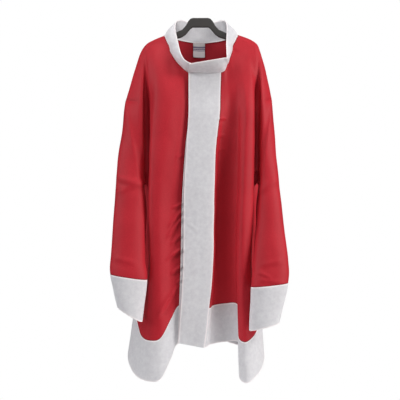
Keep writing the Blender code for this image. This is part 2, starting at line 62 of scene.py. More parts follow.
# Label sizes
LABEL_LEFT, LABEL_RIGHT = -23.0, 14.0
LABEL_LENGTH = 44.0
LABEL_WALL = 0.8
LABEL_CLEARANCE = 0.5
LABEL_SEWN_BELOW = 1.0  # how far below the collar's foot the label starts
LABEL_OFF_TOP, LABEL_LEAN = 0.6, 2.5  # how far it stands off at its top, and how much more at its end
LABEL_WAVE, LABEL_WAVE_TURN = 0.5, 2.4 * np.pi  # how far it waves across its width, and the wave's turn
LABEL_STIFFNESS = 0.3  # the share of that curl which shows at its sewn top
LABEL_ROWS, LABEL_COLUMNS = 23, 19
BEHIND_LABEL = 40  # the rows of the back that the label hangs along

# Rows and columns of the grids
NECK_ROWS, SHOULDER_ROWS, ARMHOLE_ROWS, SIDE_ROWS, HEM_ROWS = 16, 28, 60, 120, 34
COLLAR_ROWS = 22
COLUMNS_PER_FOLD = 10
SLEEVE_ROWS = (7, 18, 20, 22, 27, 24, 16, 30)  # between one ring and the next
EDGE_LINES = (0.0, 0.3, 0.8, 1.5, 2.4, 3.2, 4.0, 5.0, 6.5, 8.5)  # from a piece's edge to its first lines

# The rows of the armhole's tip and of the underarm
TIP = NECK_ROWS + SHOULDER_ROWS
UNDER = TIP + ARMHOLE_ROWS

# How far down each fold line its named levels come, as a running length
LEVEL_LENGTHS = {"neck": 0, "yoke": 65, "chest": 170, "mid": 275, "arm": 380, "hip": 630, "hem": 900}
MID_Z, ARM_Z, HIP_Z = -370.0, -480.0, -730.0
YOKE_Z_FRONT, YOKE_Z_BACK, YOKE_Z_SEAM = -205.0, -122.0, -62.0
CHEST_Z_FRONT, CHEST_Z_BACK, TIP_Z = -270.0, -250.0, -226.0

# The neckline, whose places count from 0 at the collar's hidden end to 12 at its end on top.
# Columns: x, y, z
NECKLINE = [
    (2, -40, -141),
    (-36, -40, -143),
    (-71, -30, -111),
    (-95, -19, -72),
    (-110, 0, -24),
    (-68, 31, -33),
    (0, 38, -42),
    (78, 31, -33),
    (114, 0, -22),
    (98, -19, -72),
    (82, -34, -114),
    (62, -46, -145),
    (-36, -47, -146),
]
# The collar's upper edge. Columns: place along the neckline below it, x, y, z
COLLAR_TOP = [
    (0, 2, -74, -127),
    (1, -36, -84, -121),
    (2, -56, -64, -97),
    (3, -68, -28, -50),
    (4, -77, 6, 8),
    (5, -62, 46, 34),
    (6, 0, 56, 18),
    (7, 67, 46, 33),
    (8, 80, 6, 8),
    (9, 78, -32, -52),
    (9.7, 79, -64, -88),
    (10, 79, -81, -106),
    (10.3, 69, -84, -108),
    (11, 40, -91, -114),
    (12, -34, -92, -127),
]
# Places along the neckline
RIGHT_FRONT, RIGHT_SHOULDER, BACK, LEFT_SHOULDER, LEFT_FRONT = 1, 4, 6, 8, 11

# Ridges and valleys of the body, in order round it from the hidden front edge, across the wearer's right
# front, the back and the left front, to the free edge of the white band. Columns: name, place along the
# neckline, (x, y) at the yoke, chest, mid, arm and hip, and (x, y, z) at the hem
Fold = namedtuple("Fold", "name neck yoke chest mid arm hip hem")
RIGHT_FRONT_FOLDS = [
    Fold("under_edge", 0.0, (4, -45), (4, -51), (-5, -55), (-12, -58), (-20, -66), (-28, -72, -960)),
    Fold("front_edge", 1.0, (-36, -47), (-34, -53), (-45, -57), (-53, -60), (-60, -67), (-68, -74, -960)),
    Fold("edge_ridge", 1.5, (-58, -51), (-58, -62), (-70, -66), (-82, -67), (-88, -73), (-88, -84, -1003)),
    Fold("bulge", 2.2, (-90, -53), (-98, -74), (-114, -80), (-124, -82), (-124, -90), (-122, -98, -1063)),
    Fold("side", 2.9, (-118, -48), (-136, -67), (-148, -70), (-152, -74), (-149, -84), (-160, -88, -1067)),
    Fold("gap", 3.4, (-143, -36), (-160, -30), (-160, -24), (-157, -38), (-156, -52), (-195, -54, -1058)),
    Fold("tuck", 3.8, (-163, -16), (-178, -46), (-172, -50), (-160, -26), (-160, -14), (-221, -14, -1022)),
]
BACK_FOLDS = [
    Fold("right_gap", 4.1, (-167, 8), (-206, 24), (-188, 41), (-162, 10), (-184, 46), (-210, 56, -1004)),
    Fold("right_fold", 4.2, (-158, 16), (-196, 32), (-182, 46), (-183, 58), (-189, 66), (-196, 78, -1015)),
    Fold("right_valley", 4.5, (-135, 28), (-160, 36), (-144, 42), (-138, 40), (-138, 44), (-150, 44, -1008)),
    Fold("right_ridge", 4.9, (-108, 36), (-124, 54), (-114, 66), (-108, 72), (-106, 88), (-112, 98, -995)),
    Fold("inner_valley", 5.3, (-78, 40), (-84, 48), (-76, 50), (-72, 50), (-68, 50), (-70, 50, -975)),
    Fold("inner_ridge", 5.7, (-42, 44), (-44, 58), (-40, 70), (-38, 78), (-34, 92), (-30, 102, -962)),
    Fold("back_valley", 6.1, (-4, 45), (-4, 54), (0, 56), (2, 56), (6, 56), (8, 54, -955)),
    Fold("back_ridge", 6.5, (36, 44), (38, 58), (40, 72), (42, 82), (46, 96), (48, 106, -960)),
    Fold("outer_valley", 6.9, (74, 40), (80, 50), (78, 50), (78, 50), (80, 52), (84, 52, -975)),
    Fold("left_ridge", 7.3, (106, 36), (122, 52), (116, 64), (112, 72), (114, 86), (122, 96, -996)),
    Fold("left_valley", 7.65, (134, 28), (156, 36), (142, 42), (138, 42), (140, 46), (150, 48, -1010)),
    Fold("left_fold", 7.85, (158, 16), (188, 30), (180, 46), (184, 59), (190, 64), (184, 76, -1013)),
    Fold("left_gap", 7.93, (167, 8), (203, 25), (187, 41), (166, 10), (182, 46), (190, 54, -1006)),
]
LEFT_FRONT_FOLDS = [
    Fold("tuck", 8.2, (164, -14), (186, -46), (180, -50), (164, -26), (156, -12), (196, -10, -1016)),
    Fold("gap", 8.6, (150, -26), (173, -28), (171, -25), (163, -38), (155, -46), (182, -46, -1042)),
    Fold("ridge_side", 8.9, (140, -34), (160, -58), (161, -66), (158, -71), (149, -80), (160, -84, -1058)),
    Fold("ridge", 9.3, (124, -42), (138, -68), (134, -78), (130, -86), (124, -94), (138, -100, -1071)),
    Fold("wall_top", 9.6, (112, -44), (122, -58), (119, -66), (116, -72), (110, -82), (117, -88, -1062)),
    Fold("wall_foot", 9.9, (101, -44), (110, -47), (114, -51), (112, -54), (108, -60), (115, -58, -958)),
    Fold("valley", 10.3, (86, -45), (91, -44), (86, -42), (80, -38), (76, -42), (77, -50, -957)),
    Fold("strip", 10.7, (72, -50), (72, -54), (58, -44), (51, -36), (45, -40), (31, -62, -963)),
    Fold("band_seam", 11.0, (60, -54), (58, -62), (46, -66), (42, -70), (37, -80), (13, -94, -967)),
    Fold("band_middle", 11.5, (12, -58), (11, -67), (3, -71), (-3, -76), (-8, -84), (-27, -89, -962)),
    Fold("free_edge", 12.0, (-36, -56), (-36, -64), (-42, -69), (-48, -73), (-52, -82), (-66, -84, -956)),
]

# The side seams. Columns: (x, y, z) at the underarm, just below it, lower down, at the hip and at the hem,
# with the running length of each
SIDE_LENGTHS = (380, 398, 440, 630, 900)
RIGHT_SIDE = [(-168, -28, -480), (-160, -20, -491), (-158, -8, -540), (-186, 20, -730), (-222, 32, -992)]
LEFT_SIDE = [(172, -28, -480), (164, -20, -491), (162, -8, -540), (182, 20, -730), (196, 32, -1000)]

# The shoulder seams, over the hanger and down to the armhole's tip. Columns: running length, x, z
RIGHT_SHOULDER_SEAM = [
    (0, -110, -24),
    (30, -142, -37),
    (50, -164, -49),
    (65, -175, -61),
    (85, -186, -81),
    (110, -197, -114),
    (140, -211, -163),
    (170, -229, -226),
]
LEFT_SHOULDER_SEAM = [
    (0, 114, -22),
    (25, 138, -30),
    (45, 158, -39),
    (65, 175.5, -53),
    (82, 183, -72),
    (105, 192.5, -104),
    (135, 204.5, -150),
    (170, 219, -222),
]

# The sleeves, as rings from the armhole to the cuff's end. Columns: ring, x and z at the outer side, x and
# z at the inner side, y of the outer and of the inner side, half the depth
SleeveRing = namedtuple("SleeveRing", "ring outer_x outer_z inner_x inner_z outer_y inner_y half_depth")
RIGHT_SLEEVE = [
    SleeveRing("armhole", -229, -226, -168, -480, 0, -28, 44),
    SleeveRing("gusset", -232, -251, -171, -490, -5, -33, 43),
    SleeveRing("upper", -239, -320, -166, -525, -14, -39, 41),
    SleeveRing("biceps", -251, -395, -163, -560, -27, -46, 39),
    SleeveRing("elbow", -256.5, -480, -163, -604, -42, -55, 37),
    SleeveRing("forearm", -262, -590, -164, -655, -60, -67, 36),
    SleeveRing("low", -265.5, -690, -162, -715, -79, -82, 35),
    SleeveRing("wrist", -266.5, -750, -157, -766, -92, -92, 35),
    SleeveRing("cuff_end", -244, -845, -172, -888, -106, -106, 34),
]
LEFT_SLEEVE = [
    SleeveRing("armhole", 219, -222, 172, -480, 0, -28, 44),
    SleeveRing("gusset", 221, -247, 175, -490, -5, -33, 43),
    SleeveRing("upper", 226, -320, 171, -525, -14, -39, 41),
    SleeveRing("biceps", 230.5, -400, 168, -562, -27, -46, 39),
    SleeveRing("elbow", 238, -490, 166, -606, -44, -57, 37),
    SleeveRing("forearm", 250, -605, 160, -665, -66, -73, 36),
    SleeveRing("low", 261, -710, 153, -735, -91, -94, 34),
    SleeveRing("wrist", 258.5, -774, 149, -786, -104, -104, 33),
    SleeveRing("cuff_end", 229, -890, 143, -912, -118, -118, 32),
]

# The hanger's right half. Columns: x, z of the top, z of the underside
HANGER_HALF = [
    (0, 29.5, 0),
    (24, 29.5, 0),
    (31, 27, -5),
    (38, 19, -13.5),
    (45, 6, -22),
    (56, -6.5, -29.5),
    (72, -13.5, -35),
    (92, -22.5, -43),
    (108, -30, -50),
    (140, -43, -62),
    (156, -52, -70),
]
# The end of the hanger's arm, from its top line round to its underside. Columns: x, z
HANGER_END = [(163, -59), (165.5, -65), (162.5, -71)]


def smooth_through(knots, values, at):
    """Points at the given places on a smooth curve that passes through values at knots."""
    knots, values, at = (np.asarray(a, float) for a in (knots, values, at))
    slopes = np.gradient(values, knots, axis=0)
    i = np.clip(np.searchsorted(knots, at, side="right") - 1, 0, len(knots) - 2)
    step = knots[i + 1] - knots[i]
    t = (at - knots[i]) / step
    shape = (-1,) + (1,) * (values.ndim - 1)
    t, step = t.reshape(shape), step.reshape(shape)
    return (
        values[i] * (2 * t**3 - 3 * t**2 + 1)
        + values[i + 1] * (3 * t**2 - 2 * t**3)
        + slopes[i] * step * (t**3 - 2 * t**2 + t)
        + slopes[i + 1] * step * (t**3 - t**2)
    )


def level_z(front, back, seam, neck):
    """A level's height on the fold line that starts at this place of the neckline."""
    if RIGHT_SHOULDER <= neck <= LEFT_SHOULDER:
        share = abs(neck - BACK) / (BACK - RIGHT_SHOULDER)
        return back + (seam - back) * share**2
    from_front = min(neck - RIGHT_FRONT, LEFT_FRONT - neck)
    share = max(0.0, from_front / (RIGHT_SHOULDER - RIGHT_FRONT))
    return front + (seam - front) * share**1.5


def armhole_spread():
    """The rows' places down the armhole, 0 at its tip and 1 at the underarm, closer at both ends."""
    t = np.linspace(0, 1, ARMHOLE_ROWS + 1)
    return 0.5 * t + 0.25 * (1 - np.cos(np.pi * t))


def row_lengths(hem_seam):
    """The running length of each row of the body, where the hem band starts at hem_seam."""
    at = LEVEL_LENGTHS
    return np.concatenate(
        [
            np.linspace(at["neck"], at["yoke"], NECK_ROWS + 1)[:-1],
            np.linspace(at["yoke"], at["chest"], SHOULDER_ROWS + 1)[:-1],
            (at["chest"] + (at["arm"] - at["chest"]) * armhole_spread())[:-1],
            np.array([at["arm"]]),
            np.linspace(at["arm"], hem_seam, SIDE_ROWS + 1)[1:-1],
            np.linspace(hem_seam, at["hem"], HEM_ROWS + 1),
        ]
    )


def hem_seam_length(hem_z):
    """The running length at which the hem band starts on a line that ends at this height."""
    hip, hem = LEVEL_LENGTHS["hip"], LEVEL_LENGTHS["hem"]
    return hem - (hem - hip) * HEM_BAND / (HIP_Z - hem_z)


def fold_line(fold):
    """One ridge or valley of the body, as a point for each row."""
    neck = smooth_through(range(len(NECKLINE)), NECKLINE, [fold.neck])[0]
    yoke_z = level_z(YOKE_Z_FRONT, YOKE_Z_BACK, YOKE_Z_SEAM, fold.neck)
    chest_z = level_z(CHEST_Z_FRONT, CHEST_Z_BACK, TIP_Z, fold.neck)
    points = [
        tuple(neck),
        (*fold.yoke, yoke_z),
        (*fold.chest, chest_z),
        (*fold.mid, MID_Z),
        (*fold.arm, ARM_Z),
        (*fold.hip, HIP_Z),
        fold.hem,
    ]
    lengths = row_lengths(hem_seam_length(fold.hem[2]))
    return smooth_through(list(LEVEL_LENGTHS.values()), points, lengths)


def ring_points(ring, count):
    """Points round one ring of a sleeve, from its outer side across the front and round the inner side."""
    turn = np.linspace(0, 2 * np.pi, count, endpoint=False)
    outer = np.array([ring.outer_x, ring.outer_y, ring.outer_z], float)
    inner = np.array([ring.inner_x, ring.inner_y, ring.inner_z], float)
    middle, arm = (outer + inner) / 2, (outer - inner) / 2
    depth = np.array([0, -ring.half_depth, 0], float)
    forward = np.sign(np.sin(turn)) * np.abs(np.sin(turn)) ** SLEEVE_ROUNDNESS
    return middle + np.cos(turn)[:, None] * arm + forward[:, None] * depth


def seam_lines(shoulder, side, armhole):
    """The shoulder seam, armhole and side seam with a point for each row, on the front and on the back."""
    lengths = row_lengths(hem_seam_length(side[-1][2]))
    knots = [row[0] for row in shoulder]
    over = smooth_through(knots, [(x, 0, z) for _, x, z in shoulder], lengths[:TIP])
    loop = ring_points(armhole, 2 * ARMHOLE_ROWS)
    down = smooth_through(SIDE_LENGTHS, side, lengths[UNDER:])
    front = np.concatenate([over, loop[:ARMHOLE_ROWS], down])
    back_edge = np.roll(loop, -1, axis=0)[::-1][:ARMHOLE_ROWS]
    back = np.concatenate([over, back_edge, down])
    return front, back


def across(lines):
    """A row of points through one point of each line, with as many columns between any two."""
    lines = np.asarray(lines)
    steps = np.linalg.norm(np.diff(lines, axis=0), axis=1)
    knots = np.concatenate([[0], np.cumsum(np.sqrt(steps))])
    shares = np.arange(COLUMNS_PER_FOLD) / COLUMNS_PER_FOLD
    at = np.concatenate([(knots[:-1, None] + np.diff(knots)[:, None] * shares).ravel(), knots[-1:]])
    return smooth_through(knots, lines, at)


def hanger_top(x):
    """Height of the top line of the hanger's arm."""
    table = np.array(HANGER_HALF + [(*HANGER_END[0], 0)])
    return np.interp(np.abs(x), table[:, 0], table[:, 1])


def rest_on_hanger(points):
    """Lifts the cloth of the shoulders on to the hanger's rounded top edge."""
    off_seam = np.abs(points[..., 1])
    fall = sum(slope * np.maximum(0, off_seam - start) for start, slope in CLOTH_FALLS)
    lowest = hanger_top(points[..., 0]) + RED_WALL + CLOTH_ON_HANGER - fall
    on_arm = (np.abs(points[..., 0]) < HANGER_END[1][0] + PAST_THE_ARM) & (off_seam < 2 * HANGER_DEPTH)
    points[..., 2] = np.where(on_arm, np.maximum(points[..., 2], lowest), points[..., 2])
    return points


def body_grids():
    """The outer faces of the wearer's right front, the back and the left front, as grids."""
    right_front_seam, right_back_seam = seam_lines(RIGHT_SHOULDER_SEAM, RIGHT_SIDE, RIGHT_SLEEVE[0])
    left_front_seam, left_back_seam = seam_lines(LEFT_SHOULDER_SEAM, LEFT_SIDE, LEFT_SLEEVE[0])
    right = [fold_line(f) for f in RIGHT_FRONT_FOLDS]
    back = [fold_line(f) for f in BACK_FOLDS]
    left = [fold_line(f) for f in LEFT_FRONT_FOLDS]
    panels = ([], [], [])
    first = len(right) * COLUMNS_PER_FOLD
    second = (len(right) + 1 + len(back)) * COLUMNS_PER_FOLD
    for row in range(len(right_front_seam)):
        start = [line[row] for line in right] + [right_front_seam[row]]
        middle = [right_back_seam[row]] + [line[row] for line in back] + [left_back_seam[row]]
        end = [left_front_seam[row]] + [line[row] for line in left]
        if TIP < row < UNDER:
            parts = [across(start), across(middle), across(end)]
        else:
            whole = across(start + middle[1:-1] + end)
            parts = [whole[: first + 1], whole[first : second + 1], whole[second:]]
        for panel, part in zip(panels, parts):
            panel.append(part)
    grids = [np.array(panel) for panel in panels]
    for grid in grids:
        grid[:TIP] = rest_on_hanger(grid[:TIP])
    return grids


def sleeve_grid(rings):
    """The outer face of a sleeve and its cuff, as a grid of rings, and the cuff's first row."""
    around = 2 * ARMHOLE_ROWS
    at = np.concatenate([i + np.arange(n) / n for i, n in enumerate(SLEEVE_ROWS)] + [[len(rings) - 1]])
    rows = smooth_through(range(len(rings)), [ring_points(r, around) for r in rings], at)
    return rows, sum(SLEEVE_ROWS[:-1])


def collar_grid(foot, places):
    """The outer face of the collar, from its upper edge down to the neckline's own points."""
    top = np.array(COLLAR_TOP, float)
    top = smooth_through(top[:, 0], top[:, 1:], places)
    along = np.gradient((foot + top) / 2, axis=0)
    out = np.cross(along, foot - top)
    out /= np.linalg.norm(out, axis=1)[:, None]
    share = np.linspace(0, 1, COLLAR_ROWS + 1)[:, None, None]
    return top + (foot - top) * share + out * COLLAR_BULGE * np.sin(np.pi * share)


def face_normals(grid, wrap=False, turned=False):
    """Unit vectors out of the outer face at each point of a grid."""
    down = np.gradient(grid, axis=0)
    if wrap:
        around = np.roll(grid, -1, axis=1) - np.roll(grid, 1, axis=1)
    else:
        around = np.gradient(grid, axis=1)
    out = np.cross(around, down)
    out /= np.maximum(np.linalg.norm(out, axis=2), 1e-9)[:, :, None]
    return -out if turned else out


def share_normals(*edges):
    """Gives edges that meet at a seam the same directions, so that their walls end face to face."""
    mean = sum(normals[index] for normals, index in edges)
    mean = mean / np.linalg.norm(mean, axis=-1)[..., None]
    for normals, index in edges:
        normals[index] = mean


def neck_places():
    """The place along the neckline of each column round the body."""
    folds = [f.neck for f in RIGHT_FRONT_FOLDS] + [RIGHT_SHOULDER] + [f.neck for f in BACK_FOLDS]
    folds += [LEFT_SHOULDER] + [f.neck for f in LEFT_FRONT_FOLDS]
    columns = np.arange((len(folds) - 1) * COLUMNS_PER_FOLD + 1)
    return np.interp(columns / COLUMNS_PER_FOLD, range(len(folds)), folds)


# Creases of the front and of the back, which are ridges with a shallow trough below. Columns: x and z of
# each end, height, half width, and how far the middle bends away from the straight line
Crease = namedtuple("Crease", "x0 z0 x1 z1 height width bend")
FRONT_CREASES = [
    Crease(-83, -554, -54, -542, 3.4, 3.75, 1),
    Crease(-93, -609, -56, -566, 3.7, 4.5, 4),
    Crease(-98, -643, -56, -586, 4.1, 4.5, 3),
    Crease(-87, -662, -56, -635, 3.4, 4.5, 2),
    Crease(-87, -694, -53, -677, 3.4, 3.75, 1),
    Crease(-72, -403, -53, -395, 2.0, 3.75, 0),
    Crease(-99, -708, -60, -678, 3.7, 4.5, 2),
    Crease(-87, -750, -56, -727, 4.1, 4.5, 1),
    Crease(-72, -778, -55, -766, 2.7, 3.75, 0),
    Crease(-122, -866, -72, -793, 4.4, 6, 3),
    Crease(51, -287, 75, -284, 2.4, 3.75, 0),
    Crease(50, -338, 73, -334, 2.4, 3.75, 0),
    Crease(50, -380, 73, -376, 2.0, 3.75, 0),
    Crease(-37, -600, -10, -620, 0.9, 4, 0),
    Crease(-250, -460, -165, -482, 3.0, 9, -4),
    Crease(-246, -505, -190, -486, 1.8, 8, 2),
    Crease(172, -742, 205, -758, 2.0, 5, 1),
    Crease(178, -762, 240, -770, 2.2, 5, -1),
    Crease(180, -720, 236, -708, 1.8, 7, 1),
    Crease(176, -505, 232, -470, 2.2, 10, 3),
    Crease(-252, -700, -190, -716, 1.8, 8, 1),
    Crease(28, -868, 12, -960, 2.0, 8, 0),
]
# The narrow valleys between the body and the sleeves, down past the underarms. Columns: as above
SLEEVE_VALLEYS = [
    Crease(-168, -120, -160, -520, -13, 6, 2),
    Crease(176, -130, 168, -520, -13, 6, 2),
]
BACK_CREASES = [
    Crease(-150, -300, -60, -238, 2.0, 12, 5),
    Crease(150, -300, 66, -240, 1.8, 12, -5),
    Crease(-40, -600, 36, -640, 1.6, 12, 4),
    Crease(-106, -760, -60, -700, 1.8, 9, 2),
    Crease(60, -820, 112, -760, 1.8, 9, 2),
    Crease(-246, -470, -180, -498, 2.4, 10, 4),
    Crease(236, -480, 182, -508, 2.2, 10, -4),
    Crease(-254, -712, -186, -722, 1.6, 8, 1),
    Crease(248, -735, 178, -748, 1.6, 8, -1),
]

CREASE_ENDS = 0.2  # how far past its ends a crease goes on fading out, as a share of its length
PLAIN_VALLEY = 10.0  # a crease this high or deep has no trough beside it
# A crease's trough, as shares of its height and of its half width
TROUGH_DEPTH, TROUGH_AWAY, TROUGH_WIDTH = 0.5, 2.2, 1.4
FADE_BELOW_HANGER = 60.0  # how far below the hanger's top line the creases come in fully

# Seeded unevenness of the hanging cloth. Columns: wave length, height
DRIFT_WAVES = [(170, 0.6), (95, 0.4), (52, 0.2), (30, 0.1)]
DRIFT_SEED = 6
WAVES_OF_A_LENGTH = 5
DRIFT_DIRECTIONS = (1, 1, 0.45)  # how much the waves run along X, Y and Z

# Seams and edges
SEAM_DIP = 0.5  # how far the plush dips at a sewn seam
PLUSH_ROLL = 2.4  # how far in from a seam the plush has its full height
RED_SEAM_DIP, RED_DIP_WIDTH = 0.15, 2.2
PAINTED_HIGHLIGHT_WIDTH = 3.4  # of the painted highlight, a paler line along a plush edge
PAINTED_SHADE_WIDTH = 2.6  # of the painted shade, a darker line in the red cloth along the plush
STITCH_IN, STITCH_DIP, STITCH_WIDTH = 3.6, 0.35, 0.8  # the line of stitches along a plush edge
FREE_EDGE_RADIUS = 1.5
THINNEST = 0.1  # the wall's share left at a free edge
FAR_OFF = 1000.0  # stands for the distance from an edge that a piece hasn't got


def crease_height(points, creases):
    """How far the creases raise the cloth at each point, as one looks along Y."""
    seen = points[..., [0, 2]]
    total = np.zeros(seen.shape[:-1])
    for c in creases:
        start = np.array([c.x0, c.z0], float)
        chord = np.array([c.x1, c.z1], float) - start
        length = np.hypot(*chord)
        along = chord / length
        upward = np.array([-along[1], along[0]]) * (1 if along[0] >= 0 else -1)
        place = ((seen - start) @ along) / length
        off = (seen - start) @ upward - 4 * c.bend * place * (1 - place)
        fade_in = np.clip((place + CREASE_ENDS) / (2 * CREASE_ENDS), 0, 1)
        fade_out = np.clip((1 + CREASE_ENDS - place) / (2 * CREASE_ENDS), 0, 1)
        share = fade_in * fade_out
        ends = share * share * (3 - 2 * share)
        ridge = np.exp(-((off / c.width) ** 2))
        trough_off = (off + TROUGH_AWAY * c.width) / (TROUGH_WIDTH * c.width)
        trough = TROUGH_DEPTH * np.exp(-(trough_off**2)) * (abs(c.height) < PLAIN_VALLEY)
        total += c.height * (ridge - trough) * ends
    return total


def drift(points):
    """Small seeded unevenness, longer down the cloth than across it."""
    rng = np.random.default_rng(DRIFT_SEED)
    total = np.zeros(points.shape[:-1])
    for wave, height in DRIFT_WAVES:
        for _ in range(WAVES_OF_A_LENGTH):
            direction = rng.normal(size=3) * DRIFT_DIRECTIONS
            direction /= np.linalg.norm(direction)
            start = rng.uniform(0, 2 * np.pi)
            total += height / 2 * np.sin(points @ direction * 2 * np.pi / wave + start)
    return total


def creased(grid, normals):
    """The grid with its creases and unevenness, which fade out where the cloth lies on the hanger."""
    free = np.clip((hanger_top(grid[..., 0]) - grid[..., 2]) / FADE_BELOW_HANGER, 0, 1)
    front = np.clip(-2 * normals[..., 1], 0, 1)
    back = np.clip(2 * normals[..., 1], 0, 1)
    front_height = front * crease_height(grid, FRONT_CREASES + SLEEVE_VALLEYS)
    height = front_height + back * crease_height(grid, BACK_CREASES) + drift(grid)
    return grid + normals * (height * free)[..., None]


def all_normals(right, back, left, right_sleeve, left_sleeve):
    """The outer directions of every grid, the same at the seams where two meet."""
    right_out, back_out, left_out = (face_normals(g) for g in (right, back, left))
    right_sleeve_out = face_normals(right_sleeve, wrap=True, turned=True)
    left_sleeve_out = face_normals(left_sleeve, wrap=True)
    hole, shoulder, side = slice(TIP, UNDER + 1), slice(0, TIP), slice(UNDER + 1, None)
    front_half = np.arange(ARMHOLE_ROWS + 1)
    back_half = (-front_half) % (2 * ARMHOLE_ROWS)
    for front_out, front_edge, back_edge, sleeve_out in (
        (right_out, -1, 0, right_sleeve_out),
        (left_out, 0, -1, left_sleeve_out),
    ):
        share_normals((front_out, (shoulder, front_edge)), (back_out, (shoulder, back_edge)))
        share_normals((front_out, (side, front_edge)), (back_out, (side, back_edge)))
        share_normals((front_out, (hole, front_edge)), (sleeve_out, (0, front_half)))
        share_normals((back_out, (hole, back_edge)), (sleeve_out, (0, back_half)))
        # Once more, because the tip and the underarm lie on both halves
        share_normals((front_out, (hole, front_edge)), (sleeve_out, (0, front_half)))
        for row, place in ((TIP, 0), (UNDER, ARMHOLE_ROWS)):
            back_out[row, back_edge] = front_out[row, front_edge]
            sleeve_out[0, place] = front_out[row, front_edge]
    return right_out, back_out, left_out, right_sleeve_out, left_sleeve_out


def share_collar(collar_out, right_out, back_out, left_out):
    """Gives the collar's foot and the neckline the same directions."""
    first, second = right_out.shape[1], right_out.shape[1] + back_out.shape[1] - 2
    share_normals((right_out, (0,)), (collar_out, (-1, slice(0, first))))
    share_normals((left_out, (0,)), (collar_out, (-1, slice(second, None))))
    share_normals((back_out, (0, slice(1, -1))), (collar_out, (-1, slice(first, second))))
    back_out[0, 0], back_out[0, -1] = right_out[0, -1], left_out[0, 0]


def lines_across(values, near, far):
    """Each row taken at closer lines near its finished ends, with every point's distance from both ends."""
    lines = np.array(EDGE_LINES)
    taken = []
    for row in values:
        steps = np.linalg.norm(np.diff(row[:, :3], axis=0), axis=1)
        at = np.concatenate([[0], np.cumsum(steps)])
        start, end = (lines if near else lines[:1]), (lines if far else lines[:1])
        room = at[-1] - start[-1] - end[-1]
        places = np.concatenate([start, start[-1] + at[1:-1] * room / at[-1], at[-1] - end[::-1]])
        taken.append(np.column_stack([smooth_through(at, row, places), places, at[-1] - places]))
    return np.array(taken)


def quarter_round(distance, radius):
    """Goes from 0 at an edge to 1 at radius in, as a quarter circle."""
    return np.sqrt(1 - (1 - np.clip(distance / radius, 0, 1)) ** 2)


def cloth(name, grid, normals, seams=(), free=(), lined=(), trim=False, wrap=False):
    """One piece of cloth as a thin closed shell, with dips at its seams and rounded free edges.

    The lined edges are those along which the plush has a painted highlight, a paler line, and the red cloth
    beside it a painted shade, a darker line.
    """
    values = np.concatenate([grid, normals], axis=2)
    finished = {*seams, *free}
    if wrap:
        values = np.concatenate([values, np.full(grid.shape[:2] + (2,), FAR_OFF)], axis=2)
    else:
        values = lines_across(values, "left" in finished, "right" in finished)
    values = lines_across(values.transpose(1, 0, 2), "top" in finished, "bottom" in finished)
    values = values.transpose(1, 0, 2)
    points, out = values[..., :3], values[..., 3:6]
    out = out / np.linalg.norm(out, axis=2)[..., None]
    distance = dict(zip(("left", "right", "top", "bottom"), np.moveaxis(values[..., 6:], 2, 0)))
    far_off = np.full(points.shape[:2], FAR_OFF)
    to_seam = np.min([distance[e] for e in seams] + [far_off], axis=0)
    to_free = np.min([distance[e] for e in free] + [far_off], axis=0)
    if trim:
        rise = -SEAM_DIP + (TRIM_RISE + SEAM_DIP) * quarter_round(to_seam, PLUSH_ROLL)
        nearest = np.minimum(to_seam, to_free)
        rise = rise - STITCH_DIP * np.exp(-(((nearest - STITCH_IN) / STITCH_WIDTH) ** 2))
        sink = np.full(rise.shape, -RED_WALL - TRIM_SINK)
    else:
        rise = -RED_SEAM_DIP * np.exp(-((to_seam / RED_DIP_WIDTH) ** 2))
        sink = np.full(rise.shape, -RED_WALL)
    middle, half = (rise + sink) / 2, (rise - sink) / 2
    half = half * np.maximum(quarter_round(to_free, FREE_EDGE_RADIUS), THINNEST)
    outer = points + out * (middle + half)[..., None]
    inner = points + out * (middle - half)[..., None]
    steps = np.linalg.norm(np.diff(points, axis=1, append=points[:, :1]), axis=2)
    across_uv = np.concatenate([np.zeros((len(points), 1)), np.cumsum(steps, axis=1)], axis=1)
    down_uv = np.concatenate([distance["top"], distance["top"][:, :1]], axis=1)
    uv = np.stack([across_uv - across_uv.mean(axis=1)[:, None], -down_uv], axis=2) * MM
    # Painted highlight and painted shade: how far each point lies in the paler line of the plush or the
    # darker line of the red cloth along the lined edges.
    to_line = np.min([distance[e] for e in lined], axis=0)
    painted_highlight_and_shade = np.exp(-((to_line / (PAINTED_HIGHLIGHT_WIDTH if trim else PAINTED_SHADE_WIDTH)) ** 2))
    return shell(name, outer, inner, uv, wrap, painted_highlight_and_shade)


